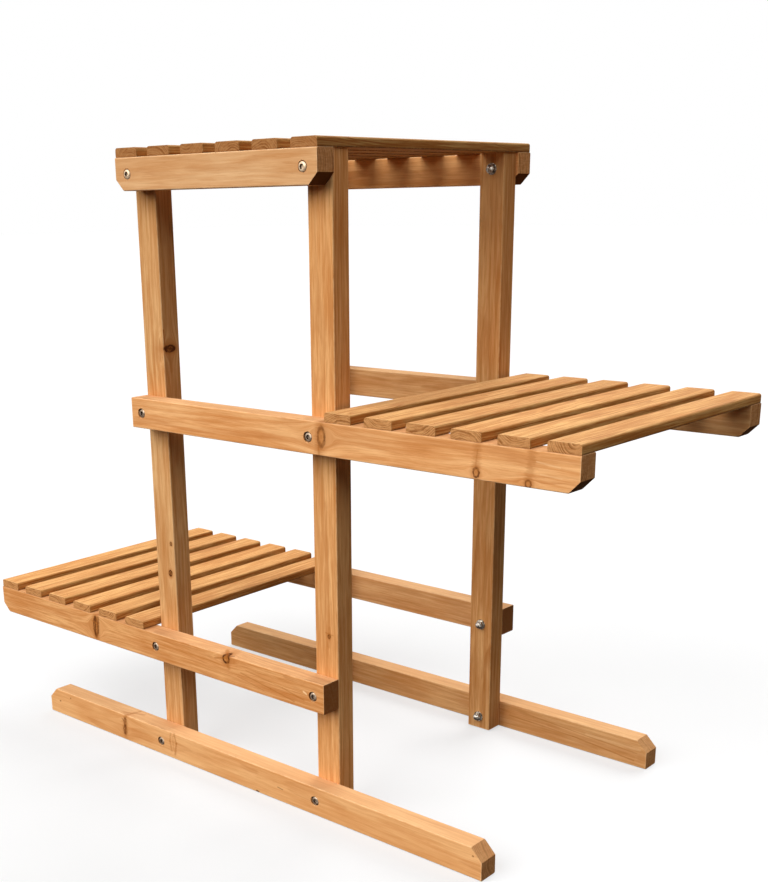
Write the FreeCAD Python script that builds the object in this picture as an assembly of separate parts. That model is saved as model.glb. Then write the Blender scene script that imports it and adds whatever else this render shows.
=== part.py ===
import FreeCAD, Part
import os

# Tiered plant stand of bolted timber, in millimetres.
# X runs along the rails, Y across the stand and Z up. The origin lies on the ground,
# under the middle of the stand. Left is -X, right is +X, near is -Y and far is +Y.
# The lower shelf reaches out to the left of the posts, the middle shelf to the right,
# and the top shelf lies over the posts.

# ---- Layout ----
stand_width = 404.0  # across the outer faces of the rails and feet
post_spacing = 284.0  # between the centre lines of the left and right posts
lower_shelf_height = 187.0  # from the ground to the upper face of the slats
middle_shelf_height = 500.0
top_shelf_height = 786.0
lower_shelf_reach = 330.0  # rail beyond the left face of the left posts
middle_shelf_reach = 330.0  # rail beyond the right face of the right posts
top_rail_overhang = 3.0  # rail beyond the posts, at each end
foot_reach = 230.0  # foot beyond the posts, at each end
post_ground_gap = 1.5  # the posts hang this far off the ground on their feet

# ---- Timber ----
board_thickness = 27.0  # rails and feet, across the stand
rail_height = 38.0
foot_height = 38.0
post_width = 36.0  # along the rails
post_depth = 27.0  # across the stand
slat_width = 38.0
slat_thickness = 11.0
slats_per_shelf = 6
slat_post_gap = 6.0  # between the posts and the slat beside them
slat_end_gap = 0.5  # from a rail's free end to the slat beside it
slat_setback = 1.0  # from the rail's outer face to the slat's end
frame_edge_radius = 1.5  # eased long edges of rails, feet and posts
slat_upper_radius = 3.0  # rounded upper long edges of slats
slat_lower_radius = 1.0  # lower long edges of slats, just broken
rail_corner_cut = 13.0  # cut lower corners at the rails' free ends
foot_corner_cut = 15.0  # cut upper corners at the ends of the feet

# ---- Bolts, washers and cap nuts ----
bolt_diameter = 6.0
bolt_hole_clearance = 0.25  # on the radius, in the timber
bolt_head_diameter = 11.5
bolt_head_height = 3.2
bolt_head_rim = 0.9  # straight edge of the head, below its crown
bolt_head_flat_diameter = 6.4  # flat on top of the crown
bolt_head_bulge = 0.45  # how far the crown's curve stands out from a straight cone
socket_across_flats = 5.0
socket_depth = 2.2
head_pocket_clearance = 0.5  # on the radius, around the head
head_pocket_depth = 3.8  # sinks the head just below the timber's face
top_head_pocket_depth = 2.0  # leaves the heads of the top rails standing proud
washer_diameter = 14.0
washer_thickness = 1.2
washer_clearance = 0.2  # on the radius, around the bolt
nut_across_flats = 10.0
nut_hex_height = 4.5
nut_dome_diameter = 9.2
nut_dome_height = 3.5
nut_end_wall = 1.8  # left between the blind bore and the dome's tip
nut_thread_clearance = 0.05  # on the radius, around the bolt
bolt_end_clearance = 0.4  # from the bolt's end to the bottom of the nut's bore

# ---- Brads that hold the slats ----
brad_length = 22.0
brad_width = 1.6  # along the rails
brad_thickness = 1.2  # across the stand
brad_sink = 0.4  # the brad's head lies this far below the slat's face
brad_spacing = 18.0  # between the two brads at a slat's end

# ---- Places worked out from the sizes above ----
sides = {"near": -1, "far": 1}
half_width = stand_width / 2
post_outer_y = half_width - board_thickness
post_inner_y = post_outer_y - post_depth
post_centres = {"left": -post_spacing / 2, "right": post_spacing / 2}
posts_left_face = post_centres["left"] - post_width / 2
posts_right_face = post_centres["right"] + post_width / 2
rail_tops = {
    "lower": lower_shelf_height - slat_thickness,
    "middle": middle_shelf_height - slat_thickness,
    "top": top_shelf_height - slat_thickness,
}
rail_spans = {
    "lower": (posts_left_face - lower_shelf_reach, posts_right_face),
    "middle": (posts_left_face, posts_right_face + middle_shelf_reach),
    "top": (posts_left_face - top_rail_overhang, posts_right_face + top_rail_overhang),
}
shelf_spans = {
    "lower": (rail_spans["lower"][0] + slat_end_gap, posts_left_face - slat_post_gap),
    "middle": (posts_right_face + slat_post_gap, rail_spans["middle"][1] - slat_end_gap),
    "top": (rail_spans["top"][0] + slat_end_gap, rail_spans["top"][1] - slat_end_gap),
}
cut_rail_ends = {"lower": ("left",), "middle": ("right",), "top": ("left", "right")}
foot_span = (posts_left_face - foot_reach, posts_right_face + foot_reach)
nut_bore_depth = nut_hex_height + nut_dome_height - nut_end_wall

bolt_heights = {"foot": foot_height / 2}
head_pocket_depths = {"foot": head_pocket_depth}
for level, rail_top in rail_tops.items():
    bolt_heights[level] = rail_top - rail_height / 2
    head_pocket_depths[level] = head_pocket_depth
head_pocket_depths["top"] = top_head_pocket_depth

slat_pitches = {
    level: (right - left - slat_width) / (slats_per_shelf - 1)
    for level, (left, right) in shelf_spans.items()
}
cutter_margin = 1.0  # how far a cutting tool runs past the face that it cuts


def edges_along(bar, grain):
    """The edges of a bar that run along its grain."""
    return [edge for edge in bar.Edges if abs(edge.tangentAt(edge.FirstParameter).dot(grain)) > 0.99]


def eased_bar(length_x, length_y, length_z, grain):
    """A bar at the origin whose four edges along the grain are eased."""
    bar = Part.makeBox(length_x, length_y, length_z)
    return bar.makeFillet(frame_edge_radius, edges_along(bar, grain))


def eased_slat(length):
    """A slat at the origin, its upper edges rounded and its lower ones just broken."""
    bar = Part.makeBox(slat_width, length, slat_thickness)
    grain = FreeCAD.Vector(0, 1, 0)
    for height, radius in ((slat_thickness, slat_upper_radius), (0, slat_lower_radius)):
        corners = [edge for edge in edges_along(bar, grain) if abs(edge.CenterOfMass.z - height) < 1e-6]
        bar = bar.makeFillet(radius, corners)
    return bar


def moved(shape, x, y, z):
    """The same shape, shifted from the origin to its place."""
    shape.translate(FreeCAD.Vector(x, y, z))
    return shape


def corner_wedge(x, z, size_x, size_z):
    """A triangular cutter that takes the corner at x, z off a board, right through it."""
    corner = FreeCAD.Vector(x, -half_width - cutter_margin, z)
    along = FreeCAD.Vector(x + size_x, corner.y, z)
    upright = FreeCAD.Vector(x, corner.y, z + size_z)
    outline = Part.makePolygon([corner, along, upright, corner])
    return Part.Face(outline).extrude(FreeCAD.Vector(0, stand_width + 2 * cutter_margin, 0))


def cylinder_across(x, z, radius, from_y, to_y):
    """A round bar along Y between two places, in either order."""
    start = FreeCAD.Vector(x, min(from_y, to_y), z)
    return Part.makeCylinder(radius, abs(to_y - from_y), start, FreeCAD.Vector(0, 1, 0))


def bolt_hole(x, z, side):
    """The hole for one bolt's shank, through a board and the post behind it."""
    radius = bolt_diameter / 2 + bolt_hole_clearance
    outside = side * (half_width + cutter_margin)
    inside = side * (post_inner_y - cutter_margin)
    return cylinder_across(x, z, radius, outside, inside)


def head_pocket(x, z, side, depth):
    """The flat-bottomed pocket that a bolt's head sits in."""
    radius = bolt_head_diameter / 2 + head_pocket_clearance
    return cylinder_across(x, z, radius, side * (half_width + cutter_margin), side * (half_width - depth))


def brad_places(level):
    """The x of each brad along one rail, slat by slat."""
    left = shelf_spans[level][0] + slat_width / 2
    centres = [left + index * slat_pitches[level] for index in range(slats_per_shelf)]
    return [centre + offset for centre in centres for offset in (-brad_spacing / 2, brad_spacing / 2)]


def brad_y(side):
    """Brads go down the middle of the rail's thickness."""
    return side * (half_width - board_thickness / 2)


def upright_brad(x, side, bottom, top):
    """A square-cut brad, or the cut that it leaves, between two heights."""
    corner = FreeCAD.Vector(x - brad_width / 2, brad_y(side) - brad_thickness / 2, bottom)
    return Part.makeBox(brad_width, brad_thickness, top - bottom, corner)


def brad_tip_height(level):
    """How deep the brads of one shelf reach."""
    return rail_tops[level] + slat_thickness - brad_sink - brad_length


def board(span, bottom, height, side):
    """A board on edge, with its outer face at the stand's side."""
    outer = side * half_width
    low_y = min(outer, outer - side * board_thickness)
    grain = FreeCAD.Vector(1, 0, 0)
    bar = eased_bar(span[1] - span[0], board_thickness, height, grain)
    return moved(bar, span[0], low_y, bottom)


def with_bolt_holes(timber, level, side):
    """Drill a rail or foot for its two bolts and sink their heads."""
    height = bolt_heights[level]
    for x in post_centres.values():
        timber = timber.cut(bolt_hole(x, height, side))
        timber = timber.cut(head_pocket(x, height, side, head_pocket_depths[level]))
    return timber


def foot(side):
    """A foot on the ground, both upper corners cut off."""
    timber = board(foot_span, 0, foot_height, side)
    left, right = foot_span
    timber = timber.cut(corner_wedge(left, foot_height, foot_corner_cut, -foot_corner_cut))
    timber = timber.cut(corner_wedge(right, foot_height, -foot_corner_cut, -foot_corner_cut))
    return with_bolt_holes(timber, "foot", side)


def rail(level, side):
    """A rail that carries the slats' ends, with its free ends' lower corners cut off."""
    bottom = rail_tops[level] - rail_height
    timber = board(rail_spans[level], bottom, rail_height, side)
    left, right = rail_spans[level]
    if "left" in cut_rail_ends[level]:
        timber = timber.cut(corner_wedge(left, bottom, rail_corner_cut, rail_corner_cut))
    if "right" in cut_rail_ends[level]:
        timber = timber.cut(corner_wedge(right, bottom, -rail_corner_cut, rail_corner_cut))
    timber = with_bolt_holes(timber, level, side)
    for x in brad_places(level):
        timber = timber.cut(upright_brad(x, side, brad_tip_height(level), rail_tops[level] + cutter_margin))
    return timber


def post(x, side):
    """An upright inside the rails, from just above the ground to the top slats."""
    grain = FreeCAD.Vector(0, 0, 1)
    length = rail_tops["top"] - post_ground_gap
    low_y = min(side * post_outer_y, side * post_inner_y)
    timber = eased_bar(post_width, post_depth, length, grain)
    timber = moved(timber, x - post_width / 2, low_y, post_ground_gap)
    for height in bolt_heights.values():
        timber = timber.cut(bolt_hole(x, height, side))
    return timber


def slat(level, index):
    """One slat across both rails, cut where its four brads go through."""
    length = stand_width - 2 * slat_setback
    left = shelf_spans[level][0] + index * slat_pitches[level]
    timber = moved(eased_slat(length), left, -length / 2, rail_tops[level])
    top = rail_tops[level] + slat_thickness + cutter_margin
    for side in sides.values():
        for x in brad_places(level)[2 * index : 2 * index + 2]:
            timber = timber.cut(upright_brad(x, side, rail_tops[level] - cutter_margin, top))
    return timber


def hex_prism(across_flats, height, bottom):
    """A hexagonal bar along Z."""
    radius = across_flats / (3**0.5)
    turn = FreeCAD.Rotation(FreeCAD.Vector(0, 0, 1), 60)
    corner = FreeCAD.Vector(radius, 0, bottom)
    corners = [corner]
    for _ in range(6):
        corner = turn.multVec(corner)
        corners.append(corner)
    return Part.Face(Part.makePolygon(corners)).extrude(FreeCAD.Vector(0, 0, height))


def turned(profile):
    """A solid turned around Z from a closed profile in the XZ plane."""
    return Part.Face(Part.Wire(profile)).revolve(FreeCAD.Vector(0, 0, 0), FreeCAD.Vector(0, 0, 1), 360)


def crowned_disc(radius, rim, flat_radius, height):
    """A disc below Z 0 with a straight rim and a crown that curves in to a flat."""
    shoulder = FreeCAD.Vector(radius, 0, -rim)
    edge_of_flat = FreeCAD.Vector(flat_radius, 0, -height)
    chord = edge_of_flat - shoulder
    outward = FreeCAD.Vector(-chord.z, 0, chord.x).normalize()
    crown_middle = (shoulder + edge_of_flat) * 0.5 + outward * bolt_head_bulge
    centre_top = FreeCAD.Vector(0, 0, -height)
    centre_base = FreeCAD.Vector(0, 0, 0)
    base_edge = FreeCAD.Vector(radius, 0, 0)
    return turned(
        [
            Part.makeLine(centre_base, base_edge),
            Part.makeLine(base_edge, shoulder),
            Part.Arc(shoulder, crown_middle, edge_of_flat).toShape(),
            Part.makeLine(edge_of_flat, centre_top),
            Part.makeLine(centre_top, centre_base),
        ]
    )


def bolt(length):
    """A bolt along Z: seat at Z 0, shank up, and a crowned head with a hexagon socket below."""
    head_radius = bolt_head_diameter / 2
    head = crowned_disc(head_radius, bolt_head_rim, bolt_head_flat_diameter / 2, bolt_head_height)
    shank = Part.makeCylinder(bolt_diameter / 2, length)
    socket = hex_prism(socket_across_flats, socket_depth + cutter_margin, -bolt_head_height - cutter_margin)
    return head.fuse(shank).removeSplitter().cut(socket)


def washer():
    """A flat washer from Z 0 upwards."""
    ring = Part.makeCylinder(washer_diameter / 2, washer_thickness)
    bore_radius = bolt_diameter / 2 + washer_clearance
    return ring.cut(Part.makeCylinder(bore_radius, washer_thickness))


def cap_nut():
    """A low cap nut from Z 0 upwards: a hexagon under a dome, with a blind bore."""
    dome_radius = nut_dome_diameter / 2
    base = FreeCAD.Vector(dome_radius, 0, nut_hex_height)
    tip = FreeCAD.Vector(0, 0, nut_hex_height + nut_dome_height)
    quarter = 0.5**0.5
    shoulder = FreeCAD.Vector(dome_radius * quarter, 0, nut_hex_height + nut_dome_height * quarter)
    axis_base = FreeCAD.Vector(0, 0, nut_hex_height)
    dome = turned(
        [
            Part.makeLine(axis_base, base),
            Part.Arc(base, shoulder, tip).toShape(),
            Part.makeLine(tip, axis_base),
        ]
    )
    bore = Part.makeCylinder(bolt_diameter / 2 + nut_thread_clearance, nut_bore_depth)
    return hex_prism(nut_across_flats, nut_hex_height, 0).fuse(dome).removeSplitter().cut(bore)


def set_across(shape, x, y, z, side):
    """Turn a fastener so that its Z points into the stand, and put it in its place."""
    inward = FreeCAD.Vector(0, -side, 0)
    turn = FreeCAD.Rotation(FreeCAD.Vector(0, 0, 1), inward)
    shape.Placement = FreeCAD.Placement(FreeCAD.Vector(x, y, z), turn)
    return shape


def level_fasteners(level):
    """The four bolts of one level with their washers and cap nuts."""
    height = bolt_heights[level]
    seat_y = half_width - head_pocket_depths[level]
    nut_face_y = post_inner_y - washer_thickness
    bolt_length = seat_y - nut_face_y + nut_bore_depth - bolt_end_clearance
    bolts, washers, nuts = [], [], []
    for side in sides.values():
        for x in post_centres.values():
            bolts.append(set_across(bolt(bolt_length), x, side * seat_y, height, side))
            washers.append(set_across(washer(), x, side * post_inner_y, height, side))
            nuts.append(set_across(cap_nut(), x, side * nut_face_y, height, side))
    return {"bolts": bolts, "washers": washers, "cap_nuts": nuts}


def shelf_brads(level):
    """All the brads of one shelf."""
    bottom = brad_tip_height(level)
    places = [(x, side) for side in sides.values() for x in brad_places(level)]
    return [upright_brad(x, side, bottom, bottom + brad_length) for x, side in places]


def all_pieces():
    """Every piece of the stand under its own name."""
    pieces = {}
    for side_name, side in sides.items():
        pieces[f"{side_name}_foot"] = foot(side)
        for post_name, x in post_centres.items():
            pieces[f"{side_name}_{post_name}_post"] = post(x, side)
        for level in rail_tops:
            pieces[f"{side_name}_{level}_rail"] = rail(level, side)
    for level in rail_tops:
        for index in range(slats_per_shelf):
            pieces[f"{level}_slat_{index + 1}"] = slat(level, index)
        pieces[f"{level}_slat_brads"] = Part.makeCompound(shelf_brads(level))
    for level in bolt_heights:
        place = "foot" if level == "foot" else f"{level}_rail"
        for kind, solids in level_fasteners(level).items():
            pieces[f"{place}_{kind}"] = Part.makeCompound(solids)
    return pieces


os.makedirs("parts", exist_ok=True)
for name, shape in all_pieces().items():
    if not shape.isValid() or not shape.Solids:
        raise ValueError(f"{name} is not a valid solid")
    shape.exportStep(f"parts/{name}.step")
    print(f"{name}: {len(shape.Solids)} solid(s), {shape.Volume:.1f} mm3")
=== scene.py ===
import math
import random
import bmesh
import bpy
from mathutils import Euler, Matrix, Vector


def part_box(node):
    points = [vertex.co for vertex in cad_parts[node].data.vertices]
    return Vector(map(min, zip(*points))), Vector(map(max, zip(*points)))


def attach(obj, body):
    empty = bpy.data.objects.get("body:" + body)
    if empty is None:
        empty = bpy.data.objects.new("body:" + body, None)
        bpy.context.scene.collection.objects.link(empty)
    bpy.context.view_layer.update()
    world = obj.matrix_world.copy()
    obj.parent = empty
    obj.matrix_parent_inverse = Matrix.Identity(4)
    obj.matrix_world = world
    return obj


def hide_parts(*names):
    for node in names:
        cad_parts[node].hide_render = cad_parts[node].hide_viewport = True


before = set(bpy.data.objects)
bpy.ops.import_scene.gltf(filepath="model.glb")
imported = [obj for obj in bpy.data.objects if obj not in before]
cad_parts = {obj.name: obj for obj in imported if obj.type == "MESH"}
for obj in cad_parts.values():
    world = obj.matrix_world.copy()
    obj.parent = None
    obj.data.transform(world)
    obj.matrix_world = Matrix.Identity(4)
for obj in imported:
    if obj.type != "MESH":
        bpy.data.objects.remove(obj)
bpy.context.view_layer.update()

# Tiered plant stand of bolted pine. The scene is in metres, with X along the rails,
# Y across the stand and Z up. Left is -X, and near is -Y, towards the camera.
# Lengths named here are in millimetres and are scaled once.
MM = 0.001
ALONG_X, ALONG_Y, ALONG_Z = 0, 1, 2

# ---- Timber ----
frame_edge_radius = 1.5
slat_upper_radius = 3.0
slat_lower_radius = 1.0
edge_segments = 4
end_edge_chamfer = 0.5
chamfer_segments = 2
rail_corner_cut = 13.0
foot_corner_cut = 15.0

# ---- Where the bolts are ----
half_width = 202.0
post_outer_y = 175.0
post_inner_y = 148.0
post_centres = (-142.0, 142.0)
bolt_heights = {"foot": 19.0, "lower_rail": 157.0, "middle_rail": 470.0, "top_rail": 756.0}

# ---- Bolts, washers and cap nuts ----
pocket_depths = {"foot": 3.8, "lower_rail": 3.8, "middle_rail": 3.8, "top_rail": 2.0}
pocket_radius = 6.25
pocket_chamfer = 0.35
bolt_hole_radius = 3.25
bolt_radius = 3.0
bolt_tip_chamfer = 0.5
head_radius = 5.75
head_height = 3.2
socket_across_flats = 5.0
socket_depth = 2.2
washer_radius = 7.0
washer_thickness = 1.2
washer_clearance = 0.2
washer_edge = 0.18
nut_across_flats = 10.0
nut_hex_height = 4.5
nut_dome_radius = 4.6
nut_dome_height = 3.5
nut_bore_depth = 6.2
nut_bore_clearance = 0.05
gap_past_bolt = 0.4

# ---- Brads ----
brad_slit = (1.6, 1.2)
brad_line_y = 188.5
brad_spacing = 18.0

# ---- Meshes ----
round_steps = 48
hexagon_steps = 6
crisp_angle = math.radians(35)
cutter_overrun = 1.0
cone_overrun = 2.0


# ---- Mesh helpers ----


def finished(shape, name, turn_outward=True):
    """Turn a bmesh into an object with smooth rounded edges and crisp corners."""
    bmesh.ops.remove_doubles(shape, verts=shape.verts, dist=1e-7)
    if turn_outward:
        bmesh.ops.recalc_face_normals(shape, faces=shape.faces)
    for face in shape.faces:
        face.smooth = True
    for edge in shape.edges:
        edge.smooth = len(edge.link_faces) == 2 and edge.calc_face_angle(0) < crisp_angle
    mesh = bpy.data.meshes.new(name)
    shape.to_mesh(mesh)
    shape.free()
    piece = bpy.data.objects.new(name, mesh)
    bpy.context.scene.collection.objects.link(piece)
    return piece


def even_shading(piece):
    """Keep wide faces flat right up to their rounded edges."""
    weighted = piece.modifiers.new("even_shading", "WEIGHTED_NORMAL")
    weighted.keep_sharp = True
    weighted.weight = 100


def carved(piece, cutter, operation="DIFFERENCE"):
    """Cut, join or intersect the piece with another one, and give back one closed mesh."""
    cut = piece.modifiers.new("cut", "BOOLEAN")
    cut.operation = operation
    cut.object = cutter
    cut.solver = "EXACT"
    bpy.context.view_layer.update()
    evaluated = piece.evaluated_get(bpy.context.evaluated_depsgraph_get())
    mesh = bpy.data.meshes.new_from_object(evaluated)
    piece.modifiers.clear()
    shape = bmesh.new()
    shape.from_mesh(mesh)
    name = piece.name
    for spent in (piece, cutter):
        bpy.data.objects.remove(spent)
    bpy.data.meshes.remove(mesh)
    return finished(shape, name)


def turned(profile, steps=round_steps):
    """A closed shape turned around Z from (radius, height) points, in millimetres."""
    shape = bmesh.new()
    points = [shape.verts.new((radius, 0, height)) for radius, height in profile]
    lines = [shape.edges.new(pair) for pair in zip(points, points[1:])]
    bmesh.ops.spin(
        shape, geom=points + lines, axis=(0, 0, 1), cent=(0, 0, 0),
        angle=math.tau, steps=steps, use_merge=True, use_duplicate=False,
    )
    bmesh.ops.remove_doubles(shape, verts=shape.verts, dist=1e-5)
    bmesh.ops.recalc_face_normals(shape, faces=shape.faces)
    return shape


def block(low, high):
    """A plain block between two corners."""
    shape = bmesh.new()
    bmesh.ops.create_cube(shape, size=1.0)
    bmesh.ops.scale(shape, vec=high - low, verts=shape.verts)
    bmesh.ops.translate(shape, vec=(low + high) / 2, verts=shape.verts)
    return shape


def add_shape(target, source, matrix):
    """Copy one bmesh into another at a place, and free it."""
    mesh = bpy.data.meshes.new("copy")
    source.to_mesh(mesh)
    source.free()
    mesh.transform(matrix)
    target.from_mesh(mesh)
    bpy.data.meshes.remove(mesh)


def bevelled(shape, edges, offset, segments):
    """Round or chamfer some edges of a bmesh."""
    bmesh.ops.bevel(
        shape, geom=edges, offset=offset * MM, offset_type="OFFSET", affect="EDGES",
        segments=segments, profile=0.5, material=-1, clamp_overlap=True,
    )


# ---- Timber shapes ----


def long_edges(shape, grain):
    """The edges of a bar that run along its grain."""
    found = []
    for edge in shape.edges:
        run = edge.verts[0].co - edge.verts[1].co
        if abs(run[grain]) > 0.99 * run.length:
            found.append(edge)
    return found


def bar(node, grain):
    """A bar in the place of a CAD node, its long edges eased."""
    shape = block(*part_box(node))
    bevelled(shape, long_edges(shape, grain), frame_edge_radius, edge_segments)
    return shape


def slat_bar(node):
    """A slat in the place of a CAD node, its upper edges rounded and its lower ones broken."""
    low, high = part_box(node)
    shape = block(low, high)
    for height, radius in ((high.z, slat_upper_radius), (low.z, slat_lower_radius)):
        corners = []
        for edge in long_edges(shape, ALONG_Y):
            if abs(edge.verts[0].co.z - height) < 1e-6 and edge.calc_face_angle(0) > 1:
                corners.append(edge)
        bevelled(shape, corners, radius, edge_segments)
    return shape


def cut_corner(shape, x, z, size, toward_x, toward_z):
    """Saw a corner off a board across its width, at 45 degrees."""
    point = Vector((x + toward_x * size * MM, 0, z))
    outward = Vector((-toward_x, 0, -toward_z)).normalized()
    everything = shape.verts[:] + shape.edges[:] + shape.faces[:]
    bmesh.ops.bisect_plane(
        shape, geom=everything, plane_co=point, plane_no=outward, clear_outer=True,
    )
    rim = [edge for edge in shape.edges if edge.is_boundary]
    bmesh.ops.holes_fill(shape, edges=rim, sides=0)


def ease_ends(shape):
    """Break the sharp edges around the sawn ends."""
    sharp = [edge for edge in shape.edges if edge.calc_face_angle(0) > crisp_angle]
    bevelled(shape, sharp, end_edge_chamfer, chamfer_segments)


def across(x, y, z, side):
    """A matrix that turns Z into the stand and puts it at a place, from millimetres."""
    inward = Vector((0, -side, 0))
    turn = Vector((0, 0, 1)).rotation_difference(inward).to_matrix().to_4x4()
    return Matrix.Translation(Vector((x, y, z)) * MM) @ turn @ Matrix.Scale(MM, 4)


def pocket_drill(depth):
    """What is drilled for one bolt: a chamfered pocket for the head and a hole for the shank.

    The chamfer's cone goes on outside the board, so that no ring of it lies on the board's face.
    """
    reach = half_width - post_outer_y + cutter_overrun
    return turned([
        (0, -cone_overrun),
        (pocket_radius + pocket_chamfer + cone_overrun, -cone_overrun),
        (pocket_radius, pocket_chamfer),
        (pocket_radius, depth),
        (bolt_hole_radius, depth),
        (bolt_hole_radius, reach),
        (0, reach),
    ])


def drilled_board(shape, name, level, side):
    """A rail or foot with its two head pockets and bolt holes."""
    cutter = bmesh.new()
    for x in post_centres:
        place = across(x, side * half_width, bolt_heights[level], side)
        add_shape(cutter, pocket_drill(pocket_depths[level]), place)
    return carved(finished(shape, name), finished(cutter, "cutter"))


def drilled_post(shape, name, x, side):
    """A post with its four bolt holes."""
    start, end = -cutter_overrun, post_outer_y - post_inner_y + 2 * cutter_overrun
    cutter = bmesh.new()
    for height in bolt_heights.values():
        drill = turned([(0, start), (bolt_hole_radius, start), (bolt_hole_radius, end), (0, end)])
        add_shape(cutter, drill, across(x, side * post_outer_y, height, side))
    return carved(finished(shape, name), finished(cutter, "cutter"))


def slit_slat(shape, name, node):
    """A slat with the four slits that its brads leave."""
    low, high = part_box(node)
    middle = (low.x + high.x) / 2
    half_slit = Vector((brad_slit[0], brad_slit[1], 0)) * MM / 2
    cutter = bmesh.new()
    for x in (middle - brad_spacing * MM / 2, middle + brad_spacing * MM / 2):
        for y in (-brad_line_y * MM, brad_line_y * MM):
            bottom = Vector((x, y, low.z - cutter_overrun * MM)) - half_slit
            top = Vector((x, y, high.z + cutter_overrun * MM)) + half_slit
            add_shape(cutter, block(bottom, top), Matrix.Identity(4))
    return carved(finished(shape, name), finished(cutter, "cutter"))


def stands_for(piece, node, material):
    """Shade and colour a piece that takes a CAD node's place, hang it on the root body and hide
    the node.
    """
    even_shading(piece)
    piece.data.materials.append(material)
    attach(piece, "root")
    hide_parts(node)
    return piece


# ---- Shader helpers ----

VALUE, VECTOR = "NodeSocketFloat", "NodeSocketVector"


def fill(tree, made, inputs):
    """Link or set the inputs of a shader node, and give the node back."""
    for key, value in inputs.items():
        if isinstance(value, bpy.types.NodeSocket):
            tree.links.new(value, made.inputs[key])
        else:
            made.inputs[key].default_value = value
    return made


def add_node(tree, kind, inputs=None, **settings):
    """Add a shader node with its settings and inputs."""
    made = tree.nodes.new(kind)
    for key, value in settings.items():
        setattr(made, key, value)
    return fill(tree, made, inputs or {})


def maths(tree, operation, *values, clamp=False):
    inputs = dict(enumerate(values))
    made = add_node(tree, "ShaderNodeMath", inputs, operation=operation, use_clamp=clamp)
    return made.outputs[0]


def times(tree, first, *others):
    """The product of two or more values."""
    for other in others:
        first = maths(tree, "MULTIPLY", first, other)
    return first


def vector_maths(tree, operation, *values):
    inputs = dict(enumerate(values))
    return add_node(tree, "ShaderNodeVectorMath", inputs, operation=operation).outputs[0]


def scaled(tree, vector, factor):
    inputs = {0: vector, "Scale": factor}
    return add_node(tree, "ShaderNodeVectorMath", inputs, operation="SCALE").outputs[0]


def dot(tree, first, second):
    inputs = {0: first, 1: second}
    made = add_node(tree, "ShaderNodeVectorMath", inputs, operation="DOT_PRODUCT")
    return made.outputs["Value"]


def length_of(tree, vector):
    made = add_node(tree, "ShaderNodeVectorMath", {0: vector}, operation="LENGTH")
    return made.outputs["Value"]


def split(tree, vector):
    """The X, Y and Z of a vector."""
    return add_node(tree, "ShaderNodeSeparateXYZ", {0: vector}).outputs


def ramped(tree, value, start, end, low=0.0, high=1.0):
    """Smoothly from low to high while value goes from start to end."""
    inputs = {"Value": value, 1: start, 2: end, 3: low, 4: high}
    made = add_node(tree, "ShaderNodeMapRange", inputs, interpolation_type="SMOOTHSTEP")
    return made.outputs[0]


def blended(tree, factor, first, second, blend_type="MIX"):
    settings = {"data_type": "RGBA", "blend_type": blend_type, "clamp_factor": True}
    made = add_node(tree, "ShaderNodeMix", **settings)
    return fill(tree, made, {0: factor, 6: first, 7: second}).outputs[2]


def noise(tree, position, scale, detail=3.0, roughness=0.55, output="Fac"):
    inputs = {"Vector": position, "Scale": scale, "Detail": detail, "Roughness": roughness}
    return add_node(tree, "ShaderNodeTexNoise", inputs, noise_dimensions="3D").outputs[output]


def wobble(tree, position, scale, detail):
    """A noise vector around zero."""
    colour = noise(tree, position, scale, detail, output="Color")
    return vector_maths(tree, "SUBTRACT", colour, (0.5, 0.5, 0.5))


def new_group(name, takes, gives):
    """A new node group with its sockets."""
    tree = bpy.data.node_groups.new(name, "ShaderNodeTree")
    for socket_name, kind in takes.items():
        tree.interface.new_socket(socket_name, in_out="INPUT", socket_type=kind)
    for socket_name, kind in gives.items():
        tree.interface.new_socket(socket_name, in_out="OUTPUT", socket_type=kind)
    given = tree.nodes.new("NodeGroupInput").outputs
    return tree, given, tree.nodes.new("NodeGroupOutput")


def use_group(tree, shared, inputs):
    """Use a node group with these inputs, and give back its outputs."""
    return fill(tree, add_node(tree, "ShaderNodeGroup", node_tree=shared), inputs).outputs


def new_material(name):
    """An empty node material."""
    material = bpy.data.materials.new(name)
    material.use_nodes = True
    material.node_tree.nodes.clear()
    return material, material.node_tree


def shade(tree, inputs, relief, bump_strength, bump_distance):
    """End a material in one surface shader, its bump in metres."""
    bump_inputs = {"Height": relief, "Strength": bump_strength, "Distance": bump_distance}
    bump = add_node(tree, "ShaderNodeBump", bump_inputs)
    shader = add_node(tree, "ShaderNodeBsdfPrincipled", {**inputs, "Normal": bump.outputs[0]})
    add_node(tree, "ShaderNodeOutputMaterial", {0: shader.outputs[0]})


# ---- Pine ----

# The pine's groups work in a board's own frame: millimetres from its middle, X along the grain.


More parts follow.
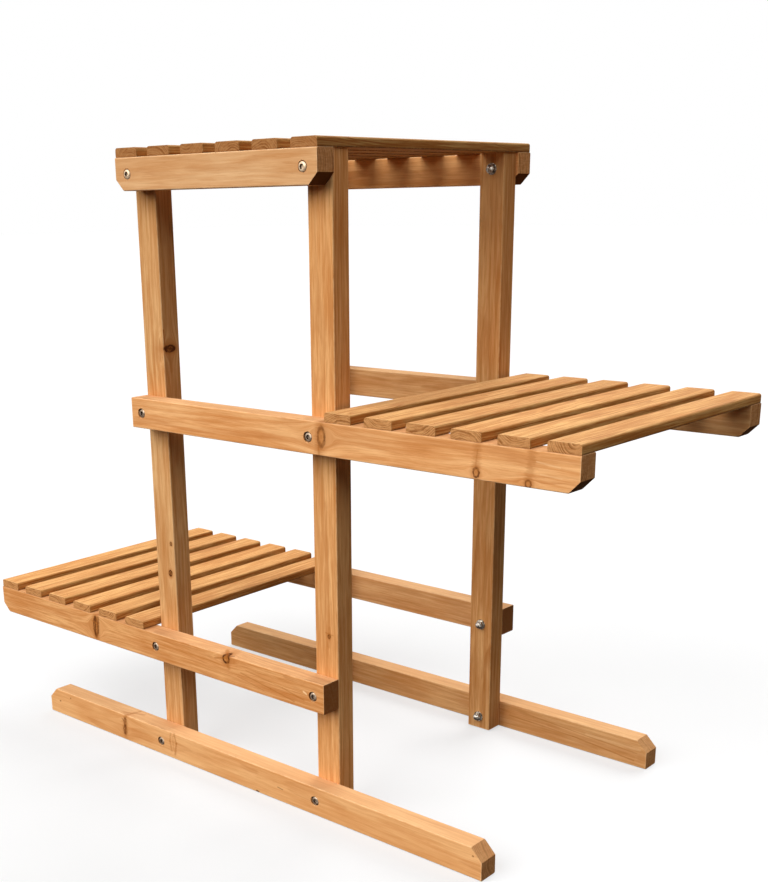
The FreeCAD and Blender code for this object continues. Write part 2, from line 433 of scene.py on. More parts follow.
def knot_group():
    """One knot: heart, dark rim, stained wood around it, and how the grain flows past it."""
    takes = {"Position": VECTOR, "Centre": VECTOR, "Radii": VECTOR}
    gives = {"Heart": VALUE, "Rim": VALUE, "Halo": VALUE, "Shift": VECTOR}
    tree, given, result = new_group("pine_knot", takes, gives)
    position, radii = given["Position"], given["Radii"]
    offset = vector_maths(tree, "SUBTRACT", position, given["Centre"])
    torn = vector_maths(tree, "ADD", offset, scaled(tree, wobble(tree, position, 0.35, 3.0), 2.2))

    # The share is 1 at the knot's edge.
    share = length_of(tree, vector_maths(tree, "DIVIDE", torn, radii))
    rings = maths(tree, "SINE", times(tree, share, 13.0))
    rings = maths(tree, "MULTIPLY_ADD", rings, 0.3, 0.7)
    heart = times(tree, ramped(tree, share, 1.1, 0.8), rings)
    broken = ramped(tree, noise(tree, position, 0.3, 2.0), 0.34, 0.56, 0.6, 1.0)
    rim = times(tree, ramped(tree, share, 0.52, 0.85), ramped(tree, share, 1.4, 1.05), broken)

    flow = vector_maths(tree, "DIVIDE", offset, radii)
    flow = vector_maths(tree, "MULTIPLY", flow, (0.3, 1.0, 1.0))
    spread = maths(tree, "MAXIMUM", dot(tree, flow, flow), 1.0)
    sideways = vector_maths(tree, "MULTIPLY", offset, (0.0, -1.0, -1.0))
    shift = scaled(tree, sideways, maths(tree, "DIVIDE", 1.0, spread))
    halo = ramped(tree, share, 2.6, 1.0)
    fill(tree, result, {"Heart": heart, "Rim": rim, "Halo": halo, "Shift": shift})
    return tree


def stroke_group():
    """A soft ragged stroke between two places: a crack, a stained streak or a pale chip."""
    takes = {"Position": VECTOR, "Start": VECTOR, "Run": VECTOR, "Share": VECTOR, "Width": VALUE}
    tree, given, result = new_group("pine_stroke", takes, {"Stroke": VALUE})
    position, width = given["Position"], given["Width"]
    feathers = vector_maths(tree, "MULTIPLY", position, (0.12, 0.6, 0.6))
    ragged = vector_maths(tree, "MULTIPLY", wobble(tree, feathers, 1.0, 3.0), (2.2, 0.7, 0.7))
    ragged = scaled(tree, ragged, maths(tree, "MULTIPLY_ADD", width, 0.8, 0.2))
    offset = vector_maths(tree, "SUBTRACT", position, given["Start"])
    offset = vector_maths(tree, "ADD", offset, ragged)

    # How far along the stroke, from 0 to 1, and how far away from it.
    along = dot(tree, offset, given["Share"])
    along = maths(tree, "MAXIMUM", maths(tree, "MINIMUM", along, 1.0), 0.0)
    away = vector_maths(tree, "SUBTRACT", offset, scaled(tree, given["Run"], along))
    share = maths(tree, "DIVIDE", length_of(tree, away), width)
    fill(tree, result, {"Stroke": ramped(tree, share, 1.0, 0.2)})
    return tree


def grain_group():
    """Solid pine: growth rings around a pith beside the board, fibres, slow colour changes."""
    takes = {"Position": VECTOR, "Pith": VECTOR, "Lean": VECTOR, "Spacing": VALUE, "Seed": VECTOR}
    gives = {"Latewood": VALUE, "Fibre": VALUE, "Streak": VALUE, "Drift": VALUE, "Ducts": VALUE}
    tree, given, result = new_group("pine_grain", takes, gives)
    position = given["Position"]
    seeded = vector_maths(tree, "ADD", position, given["Seed"])

    def stretched(along, sideways):
        return vector_maths(tree, "MULTIPLY", seeded, (along, sideways, sideways))

    def sway(along, sideways, size):
        shift = wobble(tree, stretched(along, sideways), 1.0, 2.0)
        return vector_maths(tree, "MULTIPLY", shift, (0.0, size, size))

    lean = scaled(tree, given["Lean"], split(tree, position)[0])
    from_pith = vector_maths(tree, "SUBTRACT", position, given["Pith"])
    from_pith = vector_maths(tree, "SUBTRACT", from_pith, lean)
    from_pith = vector_maths(tree, "ADD", from_pith, sway(0.0045, 0.02, 15.0))
    from_pith = vector_maths(tree, "ADD", from_pith, sway(0.03, 0.2, 1.5))
    distance = length_of(tree, vector_maths(tree, "MULTIPLY", from_pith, (0.0, 1.0, 1.0)))

    # The phase counts the years outwards, some wide and some narrow.
    phase = maths(tree, "DIVIDE", distance, given["Spacing"])
    slow = {"W": phase, "Scale": 0.4, "Detail": 1.0}
    uneven = add_node(tree, "ShaderNodeTexNoise", slow, noise_dimensions="1D").outputs[0]
    phase = maths(tree, "MULTIPLY_ADD", uneven, 2.4, phase)
    share = maths(tree, "FRACT", phase)
    late = times(tree, ramped(tree, share, 0.2, 0.88), ramped(tree, share, 1.0, 0.86))
    whole = {"W": maths(tree, "FLOOR", phase)}
    year = add_node(tree, "ShaderNodeTexWhiteNoise", whole, noise_dimensions="1D").outputs[0]
    year = maths(tree, "MULTIPLY_ADD", year, 0.75, 0.25)
    fading = ramped(tree, noise(tree, stretched(0.012, 0.09), 1.0, 2.0), 0.35, 0.62, 0.35, 1.0)

    cells = {"Vector": stretched(0.05, 0.8), "Scale": 0.6, "Randomness": 1.0}
    spots = add_node(tree, "ShaderNodeTexVoronoi", cells).outputs["Distance"]
    fill(tree, result, {
        "Latewood": times(tree, late, year, fading),
        "Fibre": noise(tree, stretched(0.03, 1.2), 1.0, 3.0, 0.65),
        "Streak": noise(tree, stretched(0.011, 0.26), 1.0, 5.0, 0.72),
        "Drift": noise(tree, stretched(0.008, 0.03), 1.0, 2.0),
        "Ducts": ramped(tree, spots, 0.15, 0.04),
    })
    return tree


def edge_group():
    """How near a point is to the edges of its board, from the board's half sizes."""
    takes = {"Position": VECTOR, "Half": VECTOR}
    tree, given, result = new_group("board_edges", takes, {"Edge": VALUE})
    size = vector_maths(tree, "ABSOLUTE", given["Position"])
    x, y, z = split(tree, vector_maths(tree, "SUBTRACT", given["Half"], size))
    least = maths(tree, "MINIMUM", maths(tree, "MINIMUM", x, y), z)
    most = maths(tree, "MAXIMUM", maths(tree, "MAXIMUM", x, y), z)
    total = maths(tree, "ADD", maths(tree, "ADD", x, y), z)
    second = maths(tree, "SUBTRACT", maths(tree, "SUBTRACT", total, least), most)
    fill(tree, result, {"Edge": ramped(tree, second, 1.9, 0.1)})
    return tree


pine_knot = knot_group()
pine_stroke = stroke_group()
pine_grain = grain_group()
board_edges = edge_group()

pale_pine = (0.875, 0.475, 0.192, 1.0)
honey_pine = (0.74, 0.35, 0.125, 1.0)
amber_pine = (0.60, 0.225, 0.058, 1.0)
latewood_brown = (0.46, 0.15, 0.032, 1.0)
knot_heart = (0.52, 0.20, 0.045, 1.0)
knot_rim = (0.085, 0.024, 0.007, 1.0)
stain_colours = {
    "amber": (0.42, 0.13, 0.022, 1.0),
    "bark": (0.10, 0.026, 0.007, 1.0),
    "pale": (0.95, 0.62, 0.32, 1.0),
}
# Rubbed wear and painted highlight: the pale colour of the boards' edges.
worn_highlit_edge = (0.88, 0.53, 0.25, 1.0)
# Painted sheen: the paler colour of faces that look up.
sheen_pale_pine = (0.84, 0.60, 0.36, 1.0)
# Painted shade: the near-black brown of the slats' contact shadow and of corner cuts that face
# down.
painted_shade_brown = (0.085, 0.026, 0.006, 1.0)
sawn_end_brown = (0.56, 0.265, 0.10, 1.0)
sawn_end_dark = (0.20, 0.062, 0.014, 1.0)
# Painted shade on faces that look along X.
flank_shade = (0.44, 0.32, 0.06, 1.0)
under_slats_shade = (0.56, 0.44, 0.34, 1.0)
oiled_specular = 0.03
oiled_roughness = 0.72

grain_turns = {
    ALONG_X: (0.0, 0.0, 0.0),
    ALONG_Y: (0.0, 0.0, -math.pi / 2),
    ALONG_Z: (0.0, math.pi / 2, 0.0),
}


def to_board(grain, centre):
    """The matrix from the stand's frame in metres to a board's own frame in millimetres."""
    turn = Euler(grain_turns[grain]).to_matrix().to_4x4()
    return turn @ Matrix.Scale(1 / MM, 4) @ Matrix.Translation(-centre)


def add_knots(tree, position, placed, knots):
    """The knots' parts to mix into a board's colour, and the place its grain is read at."""
    turn = placed.to_3x3()
    grain_position, parts = position, []
    for place, radii, darkness in knots:
        turned_radii = turn @ Vector(radii) * MM
        inputs = {
            "Position": position,
            "Centre": placed @ (Vector(place) * MM),
            "Radii": [abs(radius) for radius in turned_radii],
        }
        knot = use_group(tree, pine_knot, inputs)
        grain_position = vector_maths(tree, "ADD", grain_position, knot["Shift"])
        parts.append((knot["Halo"], 0.5 * darkness, latewood_brown))
        parts.append((knot["Heart"], 0.75 * darkness, knot_heart))
        parts.append((knot["Rim"], 0.95 * darkness, knot_rim))
    return grain_position, parts


def add_strokes(tree, position, placed, strokes):
    """Streaks, cracks and chips, ready to mix into a board's colour."""
    parts = []
    for start, end, width, strength, stain in strokes:
        first, last = placed @ (Vector(start) * MM), placed @ (Vector(end) * MM)
        run = last - first
        inputs = {
            "Position": position, "Start": first, "Run": run,
            "Share": run / run.length_squared, "Width": width,
        }
        mask = use_group(tree, pine_stroke, inputs)["Stroke"]
        parts.append((mask, strength, stain_colours[stain]))
    return parts


def planed_colour(tree, wood, edge, position, tone, contrast):
    """Planed and oiled pine: warm streaks, rings, fibres, ducts, and pale edges of rubbed wear
    and painted highlight.
    """
    streak = ramped(tree, wood["Streak"], 0.32, 0.68, -0.75 * contrast, 0.85 * contrast)
    drift = ramped(tree, wood["Drift"], 0.3, 0.7, -0.3 + tone, 0.3 + tone)
    warmth = maths(tree, "ADD", streak, drift)
    paler = maths(tree, "MULTIPLY", warmth, -1.3, clamp=True)
    warmer = maths(tree, "MULTIPLY", warmth, 1.0, clamp=True)
    colour = blended(tree, paler, honey_pine, pale_pine)
    colour = blended(tree, warmer, colour, amber_pine)
    late = times(tree, wood["Latewood"], 0.75 * contrast)
    fibre = ramped(tree, wood["Fibre"], 0.42, 0.7, 0.0, 0.42 * contrast)
    for mask in (late, fibre, times(tree, wood["Ducts"], 0.3)):
        colour = blended(tree, mask, colour, latewood_brown)
    patchy = ramped(tree, noise(tree, position, 0.09, 3.0), 0.3, 0.7, 0.15, 0.75)
    # Painted highlight and rubbed wear: the edges go pale.
    return blended(tree, times(tree, edge, patchy), colour, worn_highlit_edge)


def sawn_colour(tree, wood, position, pores, end_tone):
    """A sawn end: open pores, pale saw marks and dark rings."""
    across_saw = vector_maths(tree, "MULTIPLY", position, (1.0, 0.25, 1.0))
    saw_marks = noise(tree, across_saw, 0.45, 3.0, 0.6)
    open_pores = ramped(tree, pores, 0.35, 0.7, 0.0, 0.7)
    colour = blended(tree, open_pores, sawn_end_brown, latewood_brown)
    colour = blended(tree, ramped(tree, saw_marks, 0.35, 0.62, 0.35, 0.0), colour, pale_pine)
    colour = blended(tree, wood["Latewood"], colour, sawn_end_dark)
    return blended(tree, end_tone, colour, sawn_end_dark)


def pine(
    name, node, grain, seed, pith, tone=0.0, contrast=1.0, tint=(1, 1, 1),
    spacing=3.2, end_tone=0.0, side_shade=0.0, shelf=None, top_sheen=0.26,
):
    """Oiled pine for one board, with the knots and strokes that its node has."""
    draw = random.Random(seed)
    low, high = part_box(node)
    centre = (low + high) / 2
    placed = to_board(grain, centre)
    half = placed.to_3x3() @ (high - low) / 2
    material, tree = new_material(name)
    texture = add_node(tree, "ShaderNodeTexCoord").outputs
    normal = texture["Normal"]
    from_middle = vector_maths(tree, "SUBTRACT", texture["Object"], tuple(centre))
    mapping = {"Vector": from_middle, "Rotation": grain_turns[grain], "Scale": [1 / MM] * 3}
    position = add_node(tree, "ShaderNodeMapping", mapping).outputs[0]
    grain_position, marks = add_knots(tree, position, placed, knots_of.get(node, ()))
    marks += add_strokes(tree, position, placed, strokes_of.get(node, ()))

    lean = (0.0, draw.uniform(-0.02, 0.02), draw.uniform(-0.02, 0.02))
    wood = use_group(tree, pine_grain, {
        "Position": grain_position, "Pith": pith, "Lean": lean, "Spacing": spacing,
        "Seed": [draw.uniform(-900, 900) for _ in range(3)],
    })
    halves = [abs(size) for size in half]
    edge = use_group(tree, board_edges, {"Position": position, "Half": halves})["Edge"]

    # The planed faces, paler on top as painted sheen, with the knots and strokes.
    colour = planed_colour(tree, wood, edge, position, tone, contrast)
    colour = blended(tree, 1.0, colour, (*tint, 1.0), "MULTIPLY")
    facing_x, _, upward = split(tree, normal)
    # Painted sheen: faces that look up are mixed toward a paler colour.
    top_sheen_mask = times(tree, ramped(tree, upward, 0.45, 0.9), top_sheen)
    colour = blended(tree, top_sheen_mask, colour, sheen_pale_pine)
    for mask, strength, stain in marks:
        colour = blended(tree, times(tree, mask, strength), colour, stain)

    # Painted shade on the flanks and under the slats, and a painted contact shadow below the
    # slats.
    middle_x, _, middle_z = split(tree, from_middle)
    # Painted shade: faces that look along X are darkened.
    if side_shade:
        flank = ramped(tree, maths(tree, "ABSOLUTE", facing_x), 0.3, 0.8)
        colour = blended(tree, times(tree, flank, side_shade), colour, flank_shade, "MULTIPLY")
    if grain == ALONG_Y:
        # Painted contact shadow: a ragged dark line along the slats' lower edges, where they sit
        # on the rails.
        above_rail = maths(tree, "SUBTRACT", middle_z, low.z - centre.z)
        contact_shadow = ramped(tree, above_rail, 0.0026, 0.0004)
        ragged_breakup = ramped(tree, noise(tree, position, 0.25, 3.0), 0.3, 0.6, 0.5, 1.0)
        contact_shadow = times(tree, contact_shadow, ramped(tree, upward, -0.9, -0.5), ragged_breakup, 0.85)
        colour = blended(tree, contact_shadow, colour, painted_shade_brown)
    if shelf:
        start, end = shelf
        near_slats = ramped(tree, middle_x, start * MM - centre.x, end * MM - centre.x)
        shaded = times(tree, near_slats, ramped(tree, upward, 0.35, 0.8), 0.62)
        colour = blended(tree, shaded, colour, under_slats_shade, "MULTIPLY")

    # The sawn ends, and painted shade on the corner cuts that face down.
    lengthwise = tuple(1.0 if axis == grain else 0.0 for axis in range(3))
    facing = maths(tree, "ABSOLUTE", dot(tree, normal, lengthwise))
    sawn = ramped(tree, facing, 0.5, 0.85)
    pores = noise(tree, position, 0.9, 4.0, 0.7)
    end_colour = sawn_colour(tree, wood, position, pores, end_tone)
    colour = blended(tree, times(tree, sawn, 0.85), colour, end_colour)
    undercut = times(tree, ramped(tree, facing, 0.3, 0.6), ramped(tree, upward, -0.25, -0.55))
    colour = blended(tree, times(tree, undercut, 0.92), colour, painted_shade_brown)

    rough = maths(tree, "MULTIPLY_ADD", wood["Latewood"], -0.1, oiled_roughness)
    rough = maths(tree, "MULTIPLY_ADD", wood["Fibre"], 0.12, rough)
    raw = maths(tree, "ADD", times(tree, sawn, 0.12), times(tree, undercut, 0.2))
    rough = maths(tree, "ADD", rough, raw, clamp=True)
    relief = maths(tree, "MULTIPLY_ADD", wood["Latewood"], 0.35, wood["Fibre"])
    relief = maths(tree, "MULTIPLY_ADD", times(tree, pores, sawn), 1.6, relief)
    inputs = {"Base Color": colour, "Roughness": rough, "Specular IOR Level": oiled_specular}
    shade(tree, inputs, relief, 0.4, 0.0004)
    return material


# ---- Metals ----

# Painted shade: the dark colour that metal faces looking down take.
metal_underside_shade = (0.05, 0.036, 0.026, 1.0)
# Oily grime and painted shade: the colours of the socket walls.
grime_shade_brown = (0.11, 0.055, 0.028, 1.0)
grime_shade_black = (0.045, 0.020, 0.010, 1.0)
brad_grey = (0.26, 0.22, 0.18, 1.0)
brad_dark = (0.13, 0.10, 0.08, 1.0)


def plated_steel(name, bright, dull, shine, underside_shade):
    """Zinc-plated steel with fine scratches, cloudy dulling and painted shade on what faces down.
    """
    material, tree = new_material(name)
    texture = add_node(tree, "ShaderNodeTexCoord").outputs
    cloud = noise(tree, texture["Object"], 420.0, 3.0)
    streaks = vector_maths(tree, "MULTIPLY", texture["Object"], (2600, 900, 700))
    scratch = noise(tree, streaks, 1.0, 4.0, 0.6)
    colour = blended(tree, ramped(tree, cloud, 0.4, 0.58), (*bright, 1.0), (*dull, 1.0))
    upward = split(tree, texture["Normal"])[2]
    # Painted shade: faces that look down go dark, broken up by the clouds.
    underside_shade_mask = maths(tree, "MULTIPLY_ADD", cloud, -0.4, upward)
    colour = blended(tree, ramped(tree, underside_shade_mask, 0.02, -0.42, 0.0, underside_shade), colour, metal_underside_shade)
    rough = maths(tree, "MULTIPLY_ADD", scratch, 0.12, shine)
    rough = maths(tree, "MULTIPLY_ADD", cloud, 0.16, rough)
    inputs = {"Base Color": colour, "Roughness": rough, "Metallic": 1.0}
    shade(tree, inputs, scratch, 0.2, 0.00005)
    return material


def socket_grime_and_shade():
    """The dark inside of the bolts' sockets: oily grime and painted shade."""
    material, tree = new_material("socket_grime_and_shade")
    place = add_node(tree, "ShaderNodeTexCoord").outputs["Object"]
    crust = noise(tree, place, 900.0, 3.0)
    colour = blended(tree, ramped(tree, crust, 0.3, 0.7), grime_shade_brown, grime_shade_black)
    rough = maths(tree, "MULTIPLY_ADD", crust, 0.3, 0.4)
    inputs = {"Base Color": colour, "Roughness": rough, "Metallic": 0.6}
    shade(tree, inputs, crust, 0.3, 0.0001)
    return material


def brad_steel():
    """Dull grey wire of the brads."""
    material, tree = new_material("brad_steel")
    place = add_node(tree, "ShaderNodeTexCoord").outputs["Object"]
    drawn_out = vector_maths(tree, "MULTIPLY", place, (2500, 2500, 300))
    drawn = noise(tree, drawn_out, 1.0, 3.0)
    colour = blended(tree, ramped(tree, drawn, 0.3, 0.7), brad_grey, brad_dark)
    rough = maths(tree, "MULTIPLY_ADD", drawn, 0.2, 0.4)
    inputs = {"Base Color": colour, "Roughness": rough, "Metallic": 1.0}
    shade(tree, inputs, drawn, 0.2, 0.00005)
    return material


# ---- The boards ----

# Knots are (place, radii, darkness), and strokes are (start, end, half width, strength, stain),
# in the stand's millimetres.
FRONT = -half_width

knots_of = {
    "near_middle_rail": [
        ((162.5, FRONT, 472.5), (5.2, 12, 10.5), 0.75),
        ((370.8, FRONT, 458.6), (3.6, 9, 4.8), 0.9),
        ((432.4, FRONT, 454.6), (3.2, 9, 4.0), 0.85),
    ],
    "near_lower_rail": [
        ((-268.4, FRONT, 158.0), (4.6, 9, 13.0), 1.0),
        ((-5.6, FRONT, 171.4), (5.4, 12, 5.6), 1.15),
    ],
    "near_foot": [
        ((-217.5, FRONT, 27.0), (3.4, 8, 6.0), 0.45),
        ((-218.6, FRONT, 15.0), (3.6, 8, 6.6), 0.6),
        ((-367.3, FRONT, 20.4), (1.2, 3, 0.8), 1.2),
        ((-341.8, FRONT, 31.2), (0.9, 3, 0.7), 0.8),
        ((378.0, FRONT, 27.6), (0.8, 3, 0.8), 0.8),
    ],
    "near_left_post": [
        ((-134.1, -post_outer_y, 254.8), (3.0, 8, 3.8), 1.3),
        ((-130.1, -post_outer_y, 295.7), (1.9, 6, 2.5), 0.9),
        ((-124.0, -164.5, 548.5), (8, 7.6, 3.9), 1.2),
    ],
    "near_right_post": [
        ((145.9, -post_outer_y, 227.4), (2.0, 8, 2.4), 1.0),
    ],
}

strokes_of = {
    "near_right_post": [
        ((145.4, -post_outer_y, 228.2), (146.4, -post_outer_y, 226.6), 1.3, 0.8, "bark"),
        ((140.5, -post_outer_y, 231.0), (152.0, -post_outer_y, 229.5), 1.5, 0.4, "amber"),
        ((146.5, -post_outer_y, 238.0), (145.5, -post_outer_y, 214.0), 3.2, 0.3, "amber"),
    ],
    "near_left_post": [
        ((-124.0, -173.0, 549.5), (-124.0, -157.5, 547.5), 3.6, 0.9, "bark"),
        ((-134.1, -post_outer_y, 256.0), (-134.3, -post_outer_y, 253.6), 2.4, 0.85, "bark"),
        ((-130.1, -post_outer_y, 296.4), (-130.1, -post_outer_y, 295.0), 1.5, 0.7, "bark"),
        ((-124.0, -173.5, 572.0), (-124.0, -172.5, 552.0), 1.6, 0.7, "amber"),
        ((-124.0, -166.0, 546.0), (-124.0, -164.0, 520.0), 3.6, 0.3, "amber"),
    ],
    "near_middle_rail": [
        ((161.0, FRONT, 484.0), (158.5, FRONT, 455.0), 9.0, 0.34, "amber"),
        ((158.2, FRONT, 462.0), (158.6, FRONT, 452.0), 2.2, 0.45, "amber"),
        ((371.8, FRONT, 487.0), (370.8, FRONT, 462.0), 7.5, 0.36, "amber"),
        ((372.2, FRONT, 482.0), (370.2, FRONT, 466.0), 1.6, 0.32, "amber"),
        ((436.2, FRONT, 486.0), (433.0, FRONT, 456.0), 7.5, 0.38, "amber"),
        ((441.0, FRONT, 478.0), (468.0, FRONT, 475.0), 1.2, 0.38, "pale"),
        ((446.0, FRONT, 466.0), (470.0, FRONT, 464.5), 1.1, 0.30, "pale"),
    ],
    "near_lower_rail": [
        ((-266.2, FRONT, 174.0), (-268.4, FRONT, 142.0), 8.5, 0.45, "amber"),
        ((-268.5, FRONT, 173.0), (-270.0, FRONT, 147.0), 2.6, 0.8, "bark"),
        ((-262.0, FRONT, 173.0), (-263.5, FRONT, 150.0), 2.0, 0.6, "bark"),
        ((-276.0, FRONT, 166.0), (-262.0, FRONT, 163.0), 2.0, 0.45, "amber"),
        ((-3.6, FRONT, 174.0), (-18.0, -187.0, 176.0), 4.2, 0.6, "amber"),
        ((-3.6, FRONT, 173.0), (-26.0, FRONT, 168.0), 1.8, 0.6, "amber"),
        ((-3.6, FRONT, 172.0), (-1.5, FRONT, 160.0), 4.0, 0.45, "amber"),
        ((-1.0, FRONT, 175.6), (4.5, -197.5, 176.0), 2.0, 0.7, "bark"),
        ((20.0, FRONT, 158.5), (72.0, FRONT, 150.0), 1.3, 0.5, "amber"),
        ((72.0, FRONT, 150.0), (112.0, FRONT, 143.5), 1.5, 0.5, "amber"),
        ((14.0, FRONT, 152.5), (60.0, FRONT, 145.0), 1.1, 0.42, "amber"),
        ((30.0, FRONT, 164.0), (92.0, FRONT, 156.5), 1.1, 0.38, "amber"),
        ((92.0, FRONT, 156.5), (128.0, FRONT, 149.0), 1.4, 0.42, "amber"),
        ((127.6, FRONT, 160.2), (131.4, FRONT, 158.4), 2.0, 0.9, "pale"),
    ],
    "near_foot": [
        ((-216.8, FRONT, 37.0), (-218.6, FRONT, 8.0), 5.0, 0.38, "amber"),
        ((-217.0, FRONT, 33.0), (-218.2, FRONT, 22.0), 2.2, 0.55, "bark"),
        ((-218.2, FRONT, 21.0), (-219.2, FRONT, 10.0), 3.0, 0.7, "bark"),
        ((-224.5, FRONT, 31.0), (-219.0, FRONT, 27.0), 1.4, 0.45, "bark"),
        ((-214.0, FRONT, 37.6), (-210.0, -180.0, 38.0), 4.2, 0.42, "amber"),
        ((-226.0, -196.0, 38.0), (-196.0, -184.0, 38.0), 3.4, 0.36, "amber"),
        ((-121.6, FRONT, 36.0), (-123.2, FRONT, 24.0), 2.6, 0.36, "amber"),
        ((-123.2, FRONT, 24.0), (-120.8, FRONT, 11.0), 2.6, 0.36, "amber"),
        ((-114.4, FRONT, 37.0), (-110.8, FRONT, 24.0), 2.8, 0.5, "amber"),
        ((-110.8, FRONT, 24.0), (-114.2, FRONT, 7.0), 2.8, 0.5, "amber"),
        ((-117.4, FRONT, 32.0), (-117.0, FRONT, 14.0), 2.2, 0.25, "amber"),
        ((41.4, FRONT, 1.8), (45.0, FRONT, 1.2), 2.0, 0.9, "bark"),
        ((79.0, FRONT, 18.8), (88.0, FRONT, 17.6), 1.1, 0.5, "bark"),
    ],
    "far_foot": [
        ((176.0, 175.0, 21.0), (280.0, 175.0, 17.0), 1.4, 0.5, "amber"),
        ((280.0, 175.0, 17.0), (372.0, 175.0, 8.0), 1.6, 0.55, "amber"),
        ((215.0, 175.0, 29.0), (376.0, 175.0, 19.0), 1.2, 0.4, "amber"),
        ((240.0, 175.0, 23.0), (372.0, 175.0, 13.0), 3.6, 0.2, "amber"),
        ((300.0, 175.0, 26.0), (380.0, 175.0, 25.0), 2.4, 0.25, "pale"),
    ],
    "middle_slat_2": [
        ((231.0, 5.0, 500.0), (242.0, 4.2, 500.0), 0.9, 0.85, "bark"),
    ],
}

rail_look = {"contrast": 0.62, "spacing": 3.6}
# Posts get painted shade on their flanks.
post_look = {"contrast": 0.85, "spacing": 5.0, "side_shade": 0.10}
board_looks = {
    "near_foot": {"contrast": 0.46, "tint": (1.07, 1.12, 1.22), "end_tone": 0.25},
    "near_middle_rail": {
        "contrast": 0.72, "tint": (1.10, 1.13, 1.22), "end_tone": 0.3, "shelf": (150, 162),
    },
    "near_lower_rail": {
        "contrast": 0.95, "tint": (0.99, 0.97, 0.97), "end_tone": 1.0, "shelf": (-150, -165),
    },
    "near_top_rail": {"contrast": 0.45, "tint": (0.98, 1.12, 1.40), "end_tone": 0.2},
    "near_left_post": {"tint": (0.92, 1.0, 1.10)},
    "near_right_post": {"tint": (1.0, 1.02, 1.04)},
    "far_foot": {"tint": (0.94, 0.99, 1.06), "end_tone": 0.2},
    # The far rails' and posts' lower tints are painted shade.
    "far_lower_rail": {"tint": (0.87, 0.91, 1.0), "end_tone": 1.0, "shelf": (-150, -165)},
    "far_middle_rail": {"tint": (0.84, 0.88, 0.95), "end_tone": 0.3, "shelf": (150, 162)},
    "far_left_post": {"tint": (0.86, 0.87, 0.86)},
    "far_right_post": {"tint": (0.83, 0.85, 0.85)},
}


def board_pith(draw):
    """The pith of the log that a board was sawn from, beside its wide face."""
    return (0.0, draw.choice((-1, 1)) * draw.uniform(38, 70), draw.uniform(-14, 14))


def slat_pith(draw):
    """The pith of the log that a slat was sawn from, above or below it."""
    return (0.0, draw.uniform(-16, 16), draw.choice((-1, 1)) * draw.uniform(12, 34))


def add_board(board, node, grain, seed, pith, look):
    """Give a board its own pine and put it in its node's place."""
    material = pine(f"pine_{node}", node, grain, seed, pith, **look)
    stands_for(board, node, material)


def build_frame_boards():
    """The feet, rails and posts."""
    seed = 11
    for side_name, side in (("near", -1), ("far", 1)):
        for level in ("foot", "lower_rail", "middle_rail", "top_rail"):
            name = f"{side_name}_{level}"
            low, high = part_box(name)
            shape = bar(name, ALONG_X)
            if level == "foot":
                cut_corner(shape, low.x, high.z, foot_corner_cut, 1, -1)
                cut_corner(shape, high.x, high.z, foot_corner_cut, -1, -1)
            if level in ("lower_rail", "top_rail"):
                cut_corner(shape, low.x, low.z, rail_corner_cut, 1, 1)
            if level in ("middle_rail", "top_rail"):
                cut_corner(shape, high.x, low.z, rail_corner_cut, -1, 1)
            ease_ends(shape)
            board = drilled_board(shape, f"{name}_board", level, side)
            seed += 1
            pith = board_pith(random.Random(seed))
            look = {**rail_look, **board_looks.get(name, {})}
            add_board(board, name, ALONG_X, seed, pith, look)
        for post_name, x in zip(("left", "right"), post_centres):
            name = f"{side_name}_{post_name}_post"
            shape = bar(name, ALONG_Z)
            ease_ends(shape)
            board = drilled_post(shape, f"{name}_timber", x, side)
            seed += 1
            pith = board_pith(random.Random(seed))
            look = {**post_look, **board_looks.get(name, {})}
            add_board(board, name, ALONG_Z, seed, pith, look)


slat_tint = (0.86, 0.89, 0.79)
slat_tones = {
    "lower": (1.09, 1.04, 1.02, 1.05, 1.0, 0.97),
    "middle": (0.99, 1.02, 0.97, 1.01, 0.96, 0.94),
    "top": (0.8, 0.83, 0.78, 0.82, 0.8, 0.74),
}
# The slats get painted shade on their flanks and painted sheen on their tops.
slat_look = {"tone": -0.08, "contrast": 1.5, "spacing": 2.6, "side_shade": 0.24, "top_sheen": 0.12}
slat_end_tones = {"lower": 0.0, "middle": 0.0, "top": 0.45}


def build_slats():
    """Eighteen slats, six to a shelf, numbered from the left."""
    seed = 101
    for level, tones in slat_tones.items():
        for number, slat_tone in enumerate(tones, start=1):
            name = f"{level}_slat_{number}"
            shape = slat_bar(name)
            ease_ends(shape)
            board = slit_slat(shape, f"{name}_batten", name)
            seed += 1
            pith = slat_pith(random.Random(seed))
            look = dict(slat_look, end_tone=slat_end_tones[level])
            look["tint"] = tuple(share * slat_tone for share in slat_tint)
            add_board(board, name, ALONG_Y, seed, pith, look)


# ---- The fasteners ----


